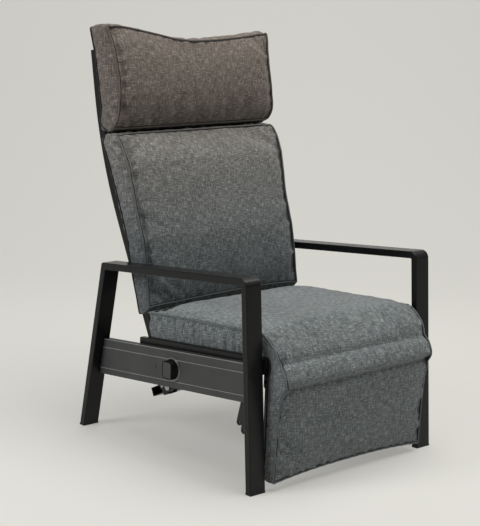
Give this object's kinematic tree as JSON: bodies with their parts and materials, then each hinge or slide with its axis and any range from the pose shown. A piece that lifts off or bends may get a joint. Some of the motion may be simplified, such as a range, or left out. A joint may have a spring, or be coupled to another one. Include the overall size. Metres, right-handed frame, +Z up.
{
  "type": "reclining garden armchair",
  "caption": "High-backed reclining garden armchair with bent tube side frames, thick cushions and a leg rest that rises as the back leans",
  "frame": {"origin": "middle of the overall box, on the ground", "axes": "+X to the sitter's left, +Y towards the back, +Z up; the sitter faces -Y"},
  "size_m": [0.69, 0.869, 1.1474],
  "materials": {
    "frame_coat": "matte anthracite powder coat over aluminium",
    "panel_coat": "matte anthracite powder coat over aluminium, grooved",
    "slat_coat": "matte anthracite powder coat over aluminium",
    "black_plastic": "matte moulded",
    "knob_plastic": "satin moulded",
    "bezel": "satin",
    "mechanism_steel": "semi-matte black coat",
    "bolt_steel": "zinc plated",
    "bush_plastic": "matte moulded",
    "seat_fabric": "woven heather, blue grey",
    "back_fabric": "woven heather, dark grey",
    "head_fabric": "woven heather, warm taupe grey"
  },
  "bodies": {
    "base": {"foot_glide_front_left": "black_plastic", "foot_glide_front_right": "black_plastic", "foot_glide_rear_left": "black_plastic", "foot_glide_rear_right": "black_plastic", "knob_bezel_left": "bezel", "knob_bezel_right": "bezel", "legrest_hinge_pin_left": "bolt_steel", "legrest_hinge_pin_right": "bolt_steel", "pivot_bush_left": "bush_plastic", "pivot_bush_right": "bush_plastic", "pivot_nut_left": "bolt_steel", "pivot_nut_right": "bolt_steel", "pivot_stud_left": "bolt_steel", "pivot_stud_right": "bolt_steel", "rear_stretcher": "frame_coat", "seat_cross_tube_front": "frame_coat", "seat_cross_tube_rear": "frame_coat", "seat_cushion": "seat_fabric", "seat_rail_left": "frame_coat", "seat_rail_right": "frame_coat", "seat_slats": "slat_coat", "side_frame_left": "frame_coat", "side_frame_right": "frame_coat", "side_panel_left": "panel_coat", "side_panel_right": "panel_coat", "spring_hanger_left": "mechanism_steel", "spring_hanger_right": "mechanism_steel"},
    "backrest": {"back_bracket_left": "mechanism_steel", "back_bracket_right": "mechanism_steel", "back_cushion": "back_fabric", "back_slats": "slat_coat", "back_tail_tube": "frame_coat", "back_top_rail": "frame_coat", "back_upright_left": "frame_coat", "back_upright_right": "frame_coat", "bracket_bolts": "bolt_steel", "drive_pin_left": "bolt_steel", "drive_pin_right": "bolt_steel", "head_cushion": "head_fabric", "upright_plugs": "black_plastic"},
    "legrest": {"crank_bolts": "bolt_steel", "crank_pin_left": "bolt_steel", "crank_pin_right": "bolt_steel", "crank_plate_left": "mechanism_steel", "crank_plate_right": "mechanism_steel", "legrest_arm_left": "frame_coat", "legrest_arm_right": "frame_coat", "legrest_cushion": "seat_fabric", "legrest_end_tube": "frame_coat", "legrest_slats": "slat_coat"},
    "drive_link_left": {"drive_link_left": "mechanism_steel"},
    "drive_link_right": {"drive_link_right": "mechanism_steel"},
    "lock_knob_left": {"lock_knob_left": "knob_plastic"},
    "lock_knob_right": {"lock_knob_right": "knob_plastic"}
  },
  "joints": [
    {"name": "recline", "type": "hinge", "parent": "base", "child": "backrest", "pos_m": [0, -0.01561, 0.24837], "axis": [-1, 0, 0], "range_deg": [0, 30]},
    {"name": "legrest_lift", "type": "hinge", "parent": "base", "child": "legrest", "pos_m": [0, -0.34761, 0.33615], "axis": [-1, 0, 0], "range_deg": [0, 80]},
    {"name": "link_turn_right", "type": "hinge", "parent": "backrest", "child": "drive_link_right", "pos_m": [0, 0.04439, 0.17787], "axis": [-1, 0, 0], "range_deg": [-26.2, 0]},
    {"name": "link_turn_left", "type": "hinge", "parent": "backrest", "child": "drive_link_left", "pos_m": [0, 0.04439, 0.17787], "axis": [-1, 0, 0], "range_deg": [-26.2, 0]},
    {"name": "knob_turn_right", "type": "hinge", "parent": "base", "child": "lock_knob_right", "pos_m": [0, -0.01561, 0.24837], "axis": [-1, 0, 0], "range_deg": [0, 90]},
    {"name": "knob_turn_left", "type": "hinge", "parent": "base", "child": "lock_knob_left", "pos_m": [0, -0.01561, 0.24837], "axis": [1, 0, 0], "range_deg": [0, 90]}
  ],
  "couplings": [
    {"joint": "legrest_lift", "follows": "recline", "ratio": 2.6666},
    {"joint": "link_turn_right", "follows": "recline", "ratio": -0.873},
    {"joint": "link_turn_left", "follows": "recline", "ratio": -0.873}
  ]
}
